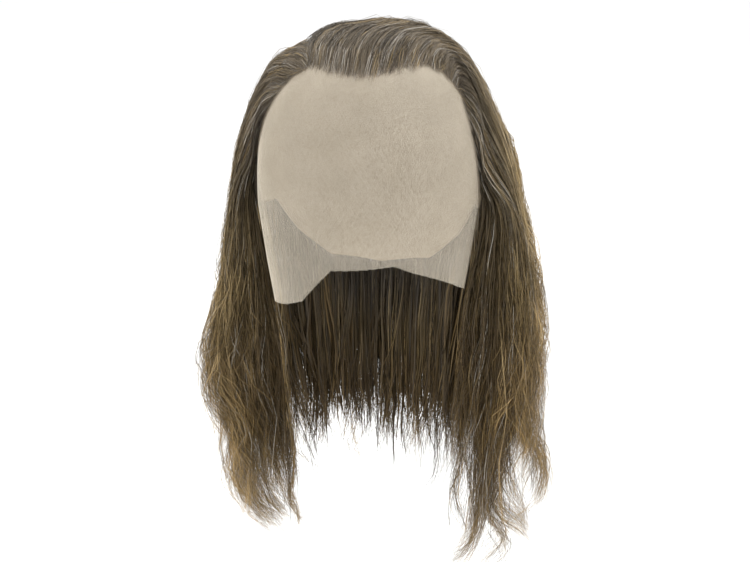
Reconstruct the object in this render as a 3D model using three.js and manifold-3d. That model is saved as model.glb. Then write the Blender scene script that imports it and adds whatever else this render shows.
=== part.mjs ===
// Lace front wig: a hollow net cap, a sheer lace front and long hair in three sections.
// Millimetres, +Z up. The face looks along -Y, and +X is on the viewer's right.
// The origin is the crown of the wearer's head, where the inside of the cap rests on it.
import * as THREE from "three";
import { mergeVertices } from "three/addons/utils/BufferGeometryUtils.js";
import Module from "manifold-3d";

const wasm = await Module();
wasm.setup();

// Walls and gaps
const GAP = 0.3;
const CAP_WALL = 1.2;
const LACE_WALL = 1.0;
const ROOT_MAT_WALL = 2.6;
const NESTING = 2.2;

// The wearer's head: a flattened dome over a narrowing table of sections
const HEAD_HALF_WIDTH = 77;
const HEAD_HALF_LENGTH = 97;
const DOME_HEIGHT = 110;
const DOME_FULLNESS = 2.7;
const HEAD_SECTIONS = [
  { drop: 110, side: 77, front: 97, back: 97 },
  { drop: 150, side: 72, front: 94, back: 91 },
  { drop: 190, side: 66, front: 89, back: 76 },
  { drop: 235, side: 63, front: 86, back: 68 },
  { drop: 440, side: 58, front: 78, back: 62 },
];
const CROWN_FLAT_DROP = 0.15;

// Edges, as drops below the crown. Azimuth is in degrees from the face, positive to the viewer's right.
const CAP_EDGE = [
  { azimuth: 0, drop: 11 },
  { azimuth: 40, drop: 10 },
  { azimuth: 60, drop: 19 },
  { azimuth: 74, drop: 52 },
  { azimuth: 84, drop: 98 },
  { azimuth: 90, drop: 117 },
  { azimuth: 96, drop: 119 },
  { azimuth: 110, drop: 121 },
  { azimuth: 128, drop: 150 },
  { azimuth: 150, drop: 176 },
  { azimuth: 180, drop: 184 },
];
const HAIRLINE = [
  { azimuth: 0, drop: 20.5 },
  { azimuth: 14, drop: 18 },
  { azimuth: 34, drop: 15 },
  { azimuth: 52, drop: 15.5 },
  { azimuth: 64, drop: 27 },
  { azimuth: 73, drop: 62 },
  { azimuth: 84, drop: 111 },
  { azimuth: 90, drop: 115 },
  { azimuth: 96, drop: 117 },
  { azimuth: 110, drop: 119 },
  { azimuth: 128, drop: 149 },
  { azimuth: 150, drop: 175 },
  { azimuth: 180, drop: 183 },
];
const LACE_LOWER_EDGE = [
  { azimuth: -90, drop: 190 },
  { azimuth: -72, drop: 184 },
  { azimuth: -36, drop: 170 },
  { azimuth: -23, drop: 162 },
  { azimuth: -8, drop: 136 },
  { azimuth: 16, drop: 133 },
  { azimuth: 24, drop: 139 },
  { azimuth: 60, drop: 163 },
  { azimuth: 76, drop: 171 },
  { azimuth: 90, drop: 182 },
];
const LACE_REACH = 90;

// The hair's outer outline: half widths to each side and depth behind, by drop
const CURTAIN = [
  { drop: 30, left: 77, right: 75, back: 99 },
  { drop: 50, left: 87, right: 87, back: 107 },
  { drop: 75, left: 94, right: 97, back: 113 },
  { drop: 105, left: 101, right: 109, back: 117 },
  { drop: 150, left: 111, right: 121, back: 119 },
  { drop: 200, left: 121, right: 132, back: 118 },
  { drop: 245, left: 135, right: 141, back: 117 },
  { drop: 285, left: 130, right: 138, back: 115 },
  { drop: 320, left: 118, right: 143, back: 114 },
  { drop: 350, left: 114, right: 143, back: 113 },
  { drop: 425, left: 86, right: 112, back: 112 },
];
const INNER_CLEARANCE = 3.5;

// Locks. Depth is 0 beside the neck and 1 at the outer outline, and hook is the tip's turn inward.
const LOCK_COLUMNS = ["rootAzimuth", "rootDrop", "azimuth", "depth", "tipDrop", "hook", "halfWidth"];
const RIGHT_LOCKS = [
  [62, 20, 80, 0.8, 372, 4, 15],
  [46, 14, 88, 1, 358, 17, 17],
  [28, 14, 97, 1, 346, 8, 18],
  [10, 17, 106, 1, 364, 4, 19],
  [-8, 17, 113, 1, 374, 0, 19],
  [-20, 14, 120, 1, 366, 0, 19],
  [-30, 12, 127, 1, 372, 0, 18],
  [68, 36, 82, 0.22, 417, 16, 11],
  [72, 60, 86, 0.66, 410, -4, 11],
  [76, 82, 83, 0, 366, 4, 11],
  [83, 104, 94, 0.35, 374, 2, 15],
  [100, 100, 106, 0.35, 384, 0, 19],
  [120, 112, 120, 0.35, 376, 0, 19],
];
const LEFT_LOCKS = [
  [-56, 20, -82, 0.85, 376, 6, 15],
  [-58, 14, -90, 1, 300, 2, 17],
  [-84, 12, -99, 1, 352, 4, 18],
  [-100, 10, -109, 1, 364, 0, 19],
  [-114, 10, -120, 1, 372, 0, 19],
  [-128, 10, -131, 1, 374, 0, 18],
  [-67, 36, -84, 0.35, 390, 14, 13],
  [-71, 60, -86, 0.66, 372, 8, 13],
  [-76, 84, -88, 0, 386, 16, 9],
  [-84, 104, -95, 0.35, 376, 4, 15],
  [-100, 100, -108, 0.35, 384, 0, 20],
  [-122, 112, -124, 0.35, 376, 0, 20],
];
const BACK_MIDDLE = 177;
const BACK_OUTER = {
  count: 6,
  rootSpread: 16,
  spread: 37,
  rootDrop: 17,
  depth: 1,
  tipDrop: 372,
  halfWidth: 22,
};
const BACK_INNER = {
  count: 4,
  rootSpread: 30,
  spread: 30,
  rootDrop: 116,
  depth: 0.3,
  tipDrop: 380,
  halfWidth: 22,
};
const LOCK_HALF_THICKNESS = 10;
const LOCK_TAPER = [
  { along: 0, width: 0.6, thickness: 0.34 },
  { along: 0.15, width: 0.9, thickness: 0.46 },
  { along: 0.4, width: 1, thickness: 0.85 },
  { along: 0.65, width: 1.05, thickness: 1 },
  { along: 0.85, width: 0.75, thickness: 0.7 },
  { along: 1, width: 0.14, thickness: 0.14 },
];
const DOME_LIFT = 6.2;
const SWEEP_BACK = { left: 5, right: 15 };
const SHOULDER_DROP = 75;
const SIDE_ROOT_STEP = 34;
const HANG_POINTS = 6;
const WAVE_HEIGHT = 4;
const WAVE_LENGTH = 130;

// The side parting and the planes that divide the sections behind it
const PARTING_FRONT = new THREE.Vector2(-33, -52);
const PARTING_BACK = new THREE.Vector2(-40, 22);
const BACK_FROM_LEFT = -138;
const BACK_FROM_RIGHT = 132;
const FAR = 420; // farther out than any hair

// Mesh density
const AZIMUTH_STEPS = 40;
const CAP_ROWS = 6;
const MAT_ROWS = 4;
const LACE_ROWS = 6;
const LACE_ROW_BUNCHING = 1.7;
const LOCK_SIDES = 6;
const LOCK_RINGS = 10;
const HEAD_SOLID_ROWS = 7;

const radians = THREE.MathUtils.degToRad;
const mix = THREE.MathUtils.lerp;

// A column of a table, read at any value of the table's first column
function readTable(table, key, at, column) {
  const last = table.length - 1;
  const above = table.findIndex((row) => row[key] >= at);
  if (above === 0) return table[0][column];
  if (above < 0) return table[last][column];
  const [a, b] = [table[above - 1], table[above]];
  return mix(a[column], b[column], (at - a[key]) / (b[key] - a[key]));
}

const mirrored = (azimuth) => Math.abs(THREE.MathUtils.euclideanModulo(azimuth + 180, 360) - 180);
const capEdge = (azimuth) => readTable(CAP_EDGE, "azimuth", mirrored(azimuth), "drop");
const hairline = (azimuth) => readTable(HAIRLINE, "azimuth", mirrored(azimuth), "drop");
const laceLowerEdge = (azimuth) => readTable(LACE_LOWER_EDGE, "azimuth", azimuth, "drop");

const heading = (azimuth) => new THREE.Vector2(Math.sin(radians(azimuth)), -Math.cos(radians(azimuth)));
const ellipseRadius = (way, side, along) => 1 / Math.hypot(way.x / side, way.y / along);

// The radius of the head's section at a height, with the head grown by a wall
function headRadius(azimuth, z, grow) {
  const way = heading(azimuth);
  if (z > -DOME_HEIGHT) {
    const level = Math.min(1, (z + DOME_HEIGHT) / (DOME_HEIGHT + grow));
    const share = (1 - level ** DOME_FULLNESS) ** (1 / DOME_FULLNESS);
    return share * ellipseRadius(way, HEAD_HALF_WIDTH + grow, HEAD_HALF_LENGTH + grow);
  }
  const side = readTable(HEAD_SECTIONS, "drop", -z, "side");
  const along = readTable(HEAD_SECTIONS, "drop", -z, way.y < 0 ? "front" : "back");
  return ellipseRadius(way, side + grow, along + grow);
}

function headPoint(azimuth, z, grow) {
  const radius = headRadius(azimuth, z, grow);
  const way = heading(azimuth);
  return new THREE.Vector3(way.x * radius, way.y * radius, z);
}

function domeZ(x, y, grow) {
  const share = Math.min(1, Math.hypot(x / (HEAD_HALF_WIDTH + grow), y / (HEAD_HALF_LENGTH + grow)));
  return (DOME_HEIGHT + grow) * (1 - share ** DOME_FULLNESS) ** (1 / DOME_FULLNESS) - DOME_HEIGHT;
}

function curtainRadius(azimuth, drop) {
  const way = heading(azimuth);
  const side = readTable(CURTAIN, "drop", drop, way.x < 0 ? "left" : "right");
  return ellipseRadius(way, side, readTable(CURTAIN, "drop", drop, "back"));
}

function meshOf(points, faces) {
  const geometry = new THREE.BufferGeometry().setFromPoints(points);
  geometry.setIndex(faces);
  return geometry;
}

// A closed wall between an outer and an inner grid of points, [column][row] with rows running down.
// Poles close the top of a wall that goes all the way round.
function shell(outer, inner, poles) {
  const columns = outer.length;
  const rows = outer[0].length;
  const points = [...outer.flat(), ...inner.flat(), ...(poles ?? [])];
  const out = (i, j) => (i % columns) * rows + j;
  const inn = (i, j) => columns * rows + out(i, j);
  const outerPole = 2 * columns * rows;
  const innerPole = outerPole + 1;
  const last = rows - 1;
  const faces = [];
  const quad = (a, b, c, d) => faces.push(a, b, c, a, c, d);
  const spans = poles ? columns : columns - 1;
  for (let i = 0; i < spans; i++) {
    for (let j = 0; j < last; j++) {
      quad(out(i, j), out(i, j + 1), out(i + 1, j + 1), out(i + 1, j));
      quad(inn(i, j), inn(i + 1, j), inn(i + 1, j + 1), inn(i, j + 1));
    }
    quad(out(i + 1, last), out(i, last), inn(i, last), inn(i + 1, last));
    if (poles) {
      faces.push(out(i, 0), out(i + 1, 0), outerPole);
      faces.push(inn(i + 1, 0), inn(i, 0), innerPole);
    } else {
      quad(out(i, 0), out(i + 1, 0), inn(i + 1, 0), inn(i, 0));
    }
  }
  if (!poles) {
    for (let j = 0; j < last; j++) {
      quad(out(0, j + 1), out(0, j), inn(0, j), inn(0, j + 1));
      quad(out(spans, j), out(spans, j + 1), inn(spans, j + 1), inn(spans, j));
    }
  }
  return meshOf(points, faces);
}

// A closed solid through rings of points that wind to the left about their way forward
function loft(rings) {
  const sides = rings[0].length;
  const middle = (ring) => ring.reduce((sum, p) => sum.add(p), new THREE.Vector3()).divideScalar(sides);
  const points = [...rings.flat(), middle(rings[0]), middle(rings.at(-1))];
  const at = (ring, k) => ring * sides + (k % sides);
  const start = rings.length * sides;
  const end = start + 1;
  const last = rings.length - 1;
  const faces = [];
  for (let k = 0; k < sides; k++) {
    for (let r = 0; r < last; r++) {
      faces.push(at(r, k), at(r, k + 1), at(r + 1, k + 1));
      faces.push(at(r, k), at(r + 1, k + 1), at(r + 1, k));
    }
    faces.push(start, at(0, k + 1), at(0, k));
    faces.push(end, at(last, k), at(last, k + 1));
  }
  return meshOf(points, faces);
}

// A dome-shaped wall over the head, from the crown down to an edge
function domeShell(edge, innerGrow, outerGrow, rows) {
  const side = (grow) =>
    Array.from({ length: AZIMUTH_STEPS }, (_, i) => {
      const azimuth = (i * 360) / AZIMUTH_STEPS;
      const top = grow - CROWN_FLAT_DROP;
      return Array.from({ length: rows + 1 }, (_, j) =>
        headPoint(azimuth, mix(top, -edge(azimuth), (j / rows) ** DOME_FULLNESS), grow),
      );
    });
  const poles = [new THREE.Vector3(0, 0, outerGrow), new THREE.Vector3(0, 0, innerGrow)];
  return shell(side(outerGrow), side(innerGrow), poles);
}

// The lace: a strip of the head's form from the cap's front edge down to the trimmed edge.
// Its columns lie on the cap's, so that the two edges run side by side.
function laceSheet(innerGrow, outerGrow) {
  const step = 360 / AZIMUTH_STEPS;
  const columns = (2 * LACE_REACH) / step;
  const side = (grow) =>
    Array.from({ length: columns + 1 }, (_, i) => {
      const azimuth = i * step - LACE_REACH;
      const top = -capEdge(azimuth) - GAP;
      const bottom = -laceLowerEdge(azimuth);
      return Array.from({ length: LACE_ROWS + 1 }, (_, j) =>
        headPoint(azimuth, mix(top, bottom, (j / LACE_ROWS) ** LACE_ROW_BUNCHING), grow),
      );
    });
  return shell(side(outerGrow), side(innerGrow));
}

// The head and neck as a solid, grown or shrunk all round
function headSolid(grow) {
  const crown = grow - CROWN_FLAT_DROP;
  const domeHeights = Array.from({ length: HEAD_SOLID_ROWS }, (_, j) =>
    mix(crown, -DOME_HEIGHT, (j / HEAD_SOLID_ROWS) ** DOME_FULLNESS),
  );
  const heights = [...domeHeights, ...HEAD_SECTIONS.map((row) => -row.drop)];
  const rings = heights.map((z) =>
    Array.from({ length: AZIMUTH_STEPS }, (_, i) => headPoint((-i * 360) / AZIMUTH_STEPS, z, grow)),
  );
  return loft(rings);
}

// What the hair stays clear of: the head and neck, and the outsides of the cap and the lace.
// The three are nested with room between their faces, so that they join cleanly.
function hairClearance() {
  const underCapEdge = (azimuth) => capEdge(azimuth) + 2 * GAP;
  const overCap = domeShell(underCapEdge, -2 * NESTING, CAP_WALL + GAP, CAP_ROWS);
  const overLace = laceSheet(-2 * NESTING, LACE_WALL + GAP);
  return toSolid(headSolid(-NESTING / 2)).add(toSolid(overCap)).add(toSolid(overLace));
}

const lockOf = (row) => Object.fromEntries(LOCK_COLUMNS.map((name, i) => [name, row[i]]));

// A row of plain locks across the back of the head
function backLocks({ count, rootSpread, spread, ...sizes }) {
  return Array.from({ length: count }, (_, i) => {
    const side = mix(-1, 1, i / (count - 1));
    return {
      rootAzimuth: BACK_MIDDLE + side * rootSpread,
      azimuth: BACK_MIDDLE + side * spread,
      hook: 0,
      ...sizes,
    };
  });
}

// The middle line of a lock: up from its root, over the dome to its shoulder, and down to its tip
function lockCurve(lock) {
  const matMiddle = CAP_WALL + GAP + ROOT_MAT_WALL / 2;
  const root = headPoint(lock.rootAzimuth, -lock.rootDrop, matMiddle);
  const fromTop = lock.rootDrop < SHOULDER_DROP - SIDE_ROOT_STEP / 2;
  const firstDrop = fromTop ? SHOULDER_DROP : lock.rootDrop + SIDE_ROOT_STEP;
  const way = heading(lock.azimuth);
  const inward = -Math.sign(way.x);
  const hanging = Array.from({ length: HANG_POINTS }, (_, k) => {
    const share = k / (HANG_POINTS - 1);
    const drop = mix(firstDrop, lock.tipDrop, share);
    const inner = headRadius(lock.azimuth, -drop, CAP_WALL + GAP) + INNER_CLEARANCE + LOCK_HALF_THICKNESS;
    const outer = curtainRadius(lock.azimuth, drop) - LOCK_HALF_THICKNESS;
    const radius = mix(inner, Math.max(inner, outer), lock.depth);
    const wave = WAVE_HEIGHT * share * Math.sin((2 * Math.PI * drop) / WAVE_LENGTH + lock.azimuth);
    const hook = lock.hook * inward * share ** 6;
    return new THREE.Vector3(way.x * radius - way.y * wave + hook, way.y * radius + way.x * wave, -drop);
  });
  const overDome = [1 / 3, 2 / 3].map((share) => {
    const shoulder = hanging[0];
    const sweep = root.y < 0 ? SWEEP_BACK[shoulder.x < 0 ? "left" : "right"] * Math.sin(Math.PI * share) : 0;
    const x = mix(root.x, shoulder.x, share);
    const y = mix(root.y, shoulder.y, share) + sweep;
    return new THREE.Vector3(x, y, domeZ(x, y, mix(DOME_LIFT, LOCK_HALF_THICKNESS, share ** 2)));
  });
  const points = [root, ...(fromTop ? overDome : []), ...hanging];
  return new THREE.CatmullRomCurve3(points, false, "catmullrom", 0.5);
}

// A lock: a flattened, tapering tube along its middle line, wide along the head and thin across it
function lockSolid(lock) {
  const curve = lockCurve(lock);
  const rings = Array.from({ length: LOCK_RINGS }, (_, r) => {
    const along = r / (LOCK_RINGS - 1);
    const middle = curve.getPoint(along);
    const forward = curve.getTangent(along);
    const core = new THREE.Vector3(0, 0, Math.min(middle.z, -DOME_HEIGHT));
    const outward = middle.clone().sub(core).projectOnPlane(forward).normalize();
    const sideways = outward.clone().cross(forward);
    const halfWidth = lock.halfWidth * readTable(LOCK_TAPER, "along", along, "width");
    const halfThickness = LOCK_HALF_THICKNESS * readTable(LOCK_TAPER, "along", along, "thickness");
    return Array.from({ length: LOCK_SIDES }, (_, k) => {
      const turn = (2 * Math.PI * k) / LOCK_SIDES;
      return middle
        .clone()
        .addScaledVector(sideways, halfWidth * Math.cos(turn))
        .addScaledVector(outward, halfThickness * Math.sin(turn));
    });
  });
  return loft(rings);
}

function toSolid(geometry) {
  const bare = geometry.clone();
  bare.deleteAttribute("normal");
  bare.deleteAttribute("uv");
  const merged = mergeVertices(bare);
  const vertProperties = Float32Array.from(merged.attributes.position.array);
  const triVerts = Uint32Array.from(merged.index.array);
  return new wasm.Manifold(new wasm.Mesh({ numProp: 3, vertProperties, triVerts }));
}

function toGeometry(solid) {
  const { vertProperties, triVerts } = solid.getMesh();
  const geometry = new THREE.BufferGeometry();
  geometry.setAttribute("position", new THREE.BufferAttribute(vertProperties, 3));
  geometry.setIndex(new THREE.BufferAttribute(triVerts, 1));
  return geometry;
}

// A tall block over an outline in plan
function tallBlock(corners) {
  const block = new THREE.ExtrudeGeometry(new THREE.Shape(corners), { depth: 2 * FAR, bevelEnabled: false });
  return toSolid(block.translate(0, 0, -1.5 * FAR));
}

// A plan outline that winds to the left, with its edges moved inward
function inset(corners, distance) {
  const inwardOf = (from, to) => new THREE.Vector2(from.y - to.y, to.x - from.x).normalize();
  return corners.map((corner, i) => {
    const before = inwardOf(corners.at(i - 1), corner);
    const after = inwardOf(corner, corners[(i + 1) % corners.length]);
    const share = distance / (1 + before.dot(after));
    return corner.clone().addScaledVector(before.add(after), share);
  });
}

// The plan outlines of the three hair sections, which meet at the back end of the parting
function sectionOutlines() {
  const behind = (azimuth) => {
    const onCurtain = heading(azimuth).multiplyScalar(curtainRadius(azimuth, SHOULDER_DROP));
    return onCurtain.sub(PARTING_BACK).setLength(FAR).add(PARTING_BACK);
  };
  const leftBehind = behind(BACK_FROM_LEFT);
  const rightBehind = behind(BACK_FROM_RIGHT);
  const faceFar = new THREE.Vector2(PARTING_FRONT.x, -FAR);
  const corner = (x, y) => new THREE.Vector2(x * FAR, y * FAR);
  return {
    left: [PARTING_BACK, leftBehind, corner(-2, 1), corner(-2, -1), faceFar, PARTING_FRONT],
    right: [PARTING_BACK, PARTING_FRONT, faceFar, corner(2, -1), corner(2, 1), rightBehind],
    back: [PARTING_BACK, rightBehind, corner(0, 2), leftBehind],
  };
}

// One section of hair: its locks fused to the root mat, cut off at its dividing planes
function hairSection(locks, outline, clearance) {
  const matOutside = CAP_WALL + GAP + ROOT_MAT_WALL;
  let hair = toSolid(domeShell(hairline, -NESTING, matOutside, MAT_ROWS));
  for (const lock of locks) hair = hair.add(toSolid(lockSolid(lock)));
  hair = hair.subtract(clearance).intersect(tallBlock(inset(outline, GAP / 2)));
  return toGeometry(largestBody(hair));
}

// Trimming a lock at a dividing plane can leave slivers behind, which are dropped.
// The solid is rebuilt from its mesh first, so that slivers that touch it in a point come off too.
function largestBody(solid) {
  const bodies = toSolid(toGeometry(solid)).decompose();
  return bodies.reduce((best, body) => (body.volume() > best.volume() ? body : best));
}

const wig = new THREE.Group();

function addPiece(name, geometry, color, roughness) {
  const mesh = new THREE.Mesh(geometry, new THREE.MeshStandardMaterial({ color, roughness, metalness: 0 }));
  mesh.name = name;
  wig.add(mesh);
}

const clearance = hairClearance();
const { left, right, back } = sectionOutlines();
const backRows = [...backLocks(BACK_OUTER), ...backLocks(BACK_INNER)];

addPiece("cap", domeShell(capEdge, 0, CAP_WALL, CAP_ROWS), "#b39b7c", 0.9);
addPiece("lace_front", laceSheet(0, LACE_WALL), "#d9c8a8", 0.85);
addPiece("hair_left", hairSection(LEFT_LOCKS.map(lockOf), left, clearance), "#5d4b36", 0.55);
addPiece("hair_right", hairSection(RIGHT_LOCKS.map(lockOf), right, clearance), "#62503a", 0.55);
addPiece("hair_back", hairSection(backRows, back, clearance), "#584632", 0.55);

export default wig;
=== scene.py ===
import math

import bpy
import numpy as np
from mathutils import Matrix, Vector


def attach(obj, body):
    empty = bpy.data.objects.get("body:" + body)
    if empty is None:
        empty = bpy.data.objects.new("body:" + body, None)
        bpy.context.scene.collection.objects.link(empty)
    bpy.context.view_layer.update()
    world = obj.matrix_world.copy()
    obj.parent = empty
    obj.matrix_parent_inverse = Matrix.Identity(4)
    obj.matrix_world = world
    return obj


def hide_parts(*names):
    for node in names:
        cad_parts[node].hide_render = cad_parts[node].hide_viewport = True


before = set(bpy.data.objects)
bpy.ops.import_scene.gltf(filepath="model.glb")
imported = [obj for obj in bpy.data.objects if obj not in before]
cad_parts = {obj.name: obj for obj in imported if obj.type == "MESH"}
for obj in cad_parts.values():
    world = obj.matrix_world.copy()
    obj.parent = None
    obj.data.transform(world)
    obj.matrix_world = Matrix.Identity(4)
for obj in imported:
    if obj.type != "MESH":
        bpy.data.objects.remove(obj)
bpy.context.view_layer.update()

# Lengths are in millimetres, as in the part's source, and become metres when a mesh is made.
# Azimuth is in degrees from the face (-Y), positive towards +X. Drop is the height below the crown.
MM = 0.001
rng = np.random.default_rng(20)

# Least divisors, for points near the middle
LEAST_LENGTH = 1e-9
LEAST_SIZE = 0.05
LEAST_RADIUS = 1

# The form that the cap and the lace are shaped on
CAP_WALL = 1.2
LACE_WALL = 1.0
HEAD_HALF_WIDTH = 77.0
HEAD_HALF_LENGTH = 97.0
DOME_HEIGHT = 110.0
DOME_FULLNESS = 2.7
# below the dome: drop, half width, front, back
HEAD_SECTIONS = np.array([
    [110, 77, 97, 97],
    [150, 72, 94, 91],
    [190, 66, 89, 76],
    [235, 63, 86, 68],
    [440, 58, 78, 62],
], float)

# Edges: azimuth, drop. The first two are alike on the left and the right.
CAP_EDGE = np.array([
    [0, 11], [40, 10], [60, 19], [74, 52], [84, 98], [90, 117],
    [96, 119], [110, 121], [128, 150], [150, 176], [180, 184],
], float)
HAIRLINE = np.array([
    [0, 20.5], [14, 18], [34, 15], [52, 15.5], [64, 27], [73, 62], [84, 111],
    [90, 115], [96, 117], [110, 119], [128, 149], [150, 175], [180, 183],
], float)
LACE_LOWER_EDGE = np.array([
    [-90, 190], [-72, 184], [-36, 170], [-23, 162], [-8, 136],
    [16, 133], [24, 139], [60, 163], [76, 171], [90, 182],
], float)
LACE_REACH = 90.0

# The hair's outer outline: drop, left, right, back. Hair hangs between it and the form.
CURTAIN = np.array([
    [30, 82, 82, 99],
    [50, 91, 94, 107],
    [75, 93, 98, 113],
    [105, 96, 104, 117],
    [150, 106, 118, 119],
    [200, 114, 126, 118],
    [236, 129, 131, 117],
    [262, 122, 128, 116],
    [285, 116, 125, 115],
    [308, 113, 135, 114],
    [350, 112, 133, 113],
    [425, 86, 112, 112],
], float)
INNER_CLEARANCE = 3.5
STRAY_REACH = 4.5
SHOULDER_DROP = 75.0
SIDE_ROOT_STEP = 34.0
HANG_POINTS = 6

# Flows of hair. Each row is a place along a flow: root azimuth, root drop, hanging azimuth,
# and the drops where the dense hair and its longest wisps end.
RIGHT_OVER = np.array([
    [70, 46, 77, 308, 362],
    [66.5, 32, 79, 306, 366],
    [59, 19, 84, 306, 340],
    [43, 12.4, 92, 306, 334],
    [28, 12.4, 100, 308, 336],
    [14, 15.2, 107, 314, 342],
    [3, 17.2, 113, 322, 350],
    [-10, 15.8, 119, 330, 358],
    [-22, 13.8, 123, 338, 366],
    [-31, 13.6, 127, 350, 376],
    [-39.6, 9.8, 130, 350, 376],
    [-52, 7.4, 134, 350, 376],
    [-69, 5.2, 137, 350, 376],
    [-90, 5.6, 140, 350, 376],
    [-121, 6, 142, 350, 376],
], float)
RIGHT_UNDER = np.array([
    [70, 44, 79, 308, 384],
    [71, 62, 81, 314, 392],
    [75, 84, 84, 322, 388],
    [84, 110, 92, 316, 346],
    [96, 113, 102, 320, 350],
    [110, 116, 112, 330, 358],
    [126, 140, 126, 352, 380],
    [136, 152, 137, 352, 380],
], float)
LEFT_OVER = np.array([
    [-58, 40, -77, 336, 376],
    [-49, 28, -79, 332, 372],
    [-43, 19.8, -82, 318, 360],
    [-33, 14.4, -87, 290, 326],
    [-41, 10, -94, 284, 320],
    [-54, 7.6, -102, 290, 328],
    [-71, 5.6, -110, 318, 352],
    [-92, 5.9, -120, 340, 368],
    [-122, 6.6, -132, 350, 376],
    [-138, 7.5, -141, 350, 376],
], float)
LEFT_UNDER = np.array([
    [-59, 44, -78, 340, 380],
    [-67, 64, -81, 344, 384],
    [-75, 88, -86, 346, 384],
    [-84, 110, -94, 340, 378],
    [-98, 113, -104, 342, 378],
    [-112, 118, -116, 350, 382],
    [-128, 142, -128, 352, 380],
    [-140, 156, -141, 352, 380],
], float)
BACK_OVER = np.array([
    [112, 6, 130, 350, 376],
    [140, 5, 148, 350, 376],
    [165, 5, 166, 350, 376],
    [190, 5, 186, 350, 376],
    [212, 6, 204, 350, 376],
    [232, 8, 226, 350, 376],
], float)
BACK_UNDER = np.array([
    [134, 150, 134, 350, 380],
    [156, 172, 156, 352, 382],
    [177, 176, 177, 352, 384],
    [198, 172, 198, 352, 382],
    [222, 152, 222, 350, 380],
], float)


def smooth(low, high, at):
    share = np.clip((at - low) / (high - low), 0, 1)
    return share * share * (3 - 2 * share)


def mix(a, b, share):
    return a + (b - a) * share


def unit(vectors):
    return vectors / np.maximum(np.linalg.norm(vectors, axis=-1, keepdims=True), LEAST_LENGTH)


def mirrored(azimuth):
    """The azimuth between 0 and 180 degrees on either side."""
    return np.abs((azimuth + 180) % 360 - 180)


def edge_drop(table, azimuth):
    return np.interp(azimuth, table[:, 0], table[:, 1])


def heading(azimuth):
    angle = np.radians(azimuth)
    return np.sin(angle), -np.cos(angle)


def ellipse_radius(way_x, way_y, side, along):
    return 1 / np.hypot(way_x / side, way_y / along)


def head_radius(azimuth, z, grow):
    """How far the form's surface, grown by a margin, lies from the axis."""
    way_x, way_y = heading(azimuth)
    level = np.clip((z + DOME_HEIGHT) / (DOME_HEIGHT + grow), 0, 1)
    share = (1 - level ** DOME_FULLNESS) ** (1 / DOME_FULLNESS)
    dome = share * ellipse_radius(way_x, way_y, HEAD_HALF_WIDTH + grow, HEAD_HALF_LENGTH + grow)
    side = np.interp(-z, HEAD_SECTIONS[:, 0], HEAD_SECTIONS[:, 1])
    front = np.interp(-z, HEAD_SECTIONS[:, 0], HEAD_SECTIONS[:, 2])
    back = np.interp(-z, HEAD_SECTIONS[:, 0], HEAD_SECTIONS[:, 3])
    neck = ellipse_radius(way_x, way_y, side + grow, np.where(way_y < 0, front, back) + grow)
    return np.where(z > -DOME_HEIGHT, dome, neck)


def head_point(azimuth, z, grow):
    azimuth, z = np.broadcast_arrays(np.asarray(azimuth, float), np.asarray(z, float))
    radius = head_radius(azimuth, z, grow)
    way_x, way_y = heading(azimuth)
    return np.stack([way_x * radius, way_y * radius, z], axis=-1)


def dome_z(x, y, grow):
    """The height of the dome, grown by a margin, over a place on the plan."""
    share = np.minimum(1, np.hypot(x / (HEAD_HALF_WIDTH + grow), y / (HEAD_HALF_LENGTH + grow)))
    return (DOME_HEIGHT + grow) * (1 - share ** DOME_FULLNESS) ** (1 / DOME_FULLNESS) - DOME_HEIGHT


def curtain_radius(azimuth, drop):
    """How far the hair's outline lies from the axis."""
    way_x, way_y = heading(azimuth)
    left = np.interp(drop, CURTAIN[:, 0], CURTAIN[:, 1])
    right = np.interp(drop, CURTAIN[:, 0], CURTAIN[:, 2])
    back = np.interp(drop, CURTAIN[:, 0], CURTAIN[:, 3])
    return ellipse_radius(way_x, way_y, np.where(way_x < 0, left, right), back)


def push_out_of_head(points, grow):
    """Moves points that lie inside the form, grown by a margin, out to its surface."""
    x, y, z = points[..., 0], points[..., 1], points[..., 2]
    azimuth = np.degrees(np.arctan2(x, -y))
    up = np.maximum(z + DOME_HEIGHT, 0) / (DOME_HEIGHT + grow)
    across = np.hypot(x / (HEAD_HALF_WIDTH + grow), y / (HEAD_HALF_LENGTH + grow))
    size = (up ** DOME_FULLNESS + across ** DOME_FULLNESS) ** (1 / DOME_FULLNESS)
    dome_push = np.where(size < 1, 1 / np.maximum(size, LEAST_SIZE), 1)
    core = np.array([0, 0, -DOME_HEIGHT])
    on_dome = core + (points - core) * dome_push[..., None]
    radius = np.hypot(x, y)
    neck_push = np.maximum(1, head_radius(azimuth, z, grow) / np.maximum(radius, LEAST_RADIUS))
    on_neck = points * np.stack([neck_push, neck_push, np.ones_like(z)], axis=-1)
    return np.where((z > -DOME_HEIGHT)[..., None], on_dome, on_neck)


def hold_near_curtain(points):
    """Draws in points that stand far out of the hair's outline."""
    x, y, z = points[..., 0], points[..., 1], points[..., 2]
    radius = np.hypot(x, y)
    limit = curtain_radius(np.degrees(np.arctan2(x, -y)), -z)
    beyond = STRAY_REACH * np.tanh(np.maximum(radius - limit, 0) / STRAY_REACH)
    scale = np.where(radius > limit, (limit + beyond) / np.maximum(radius, LEAST_RADIUS), 1)
    return points * np.stack([scale, scale, np.ones_like(z)], axis=-1)


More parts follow.
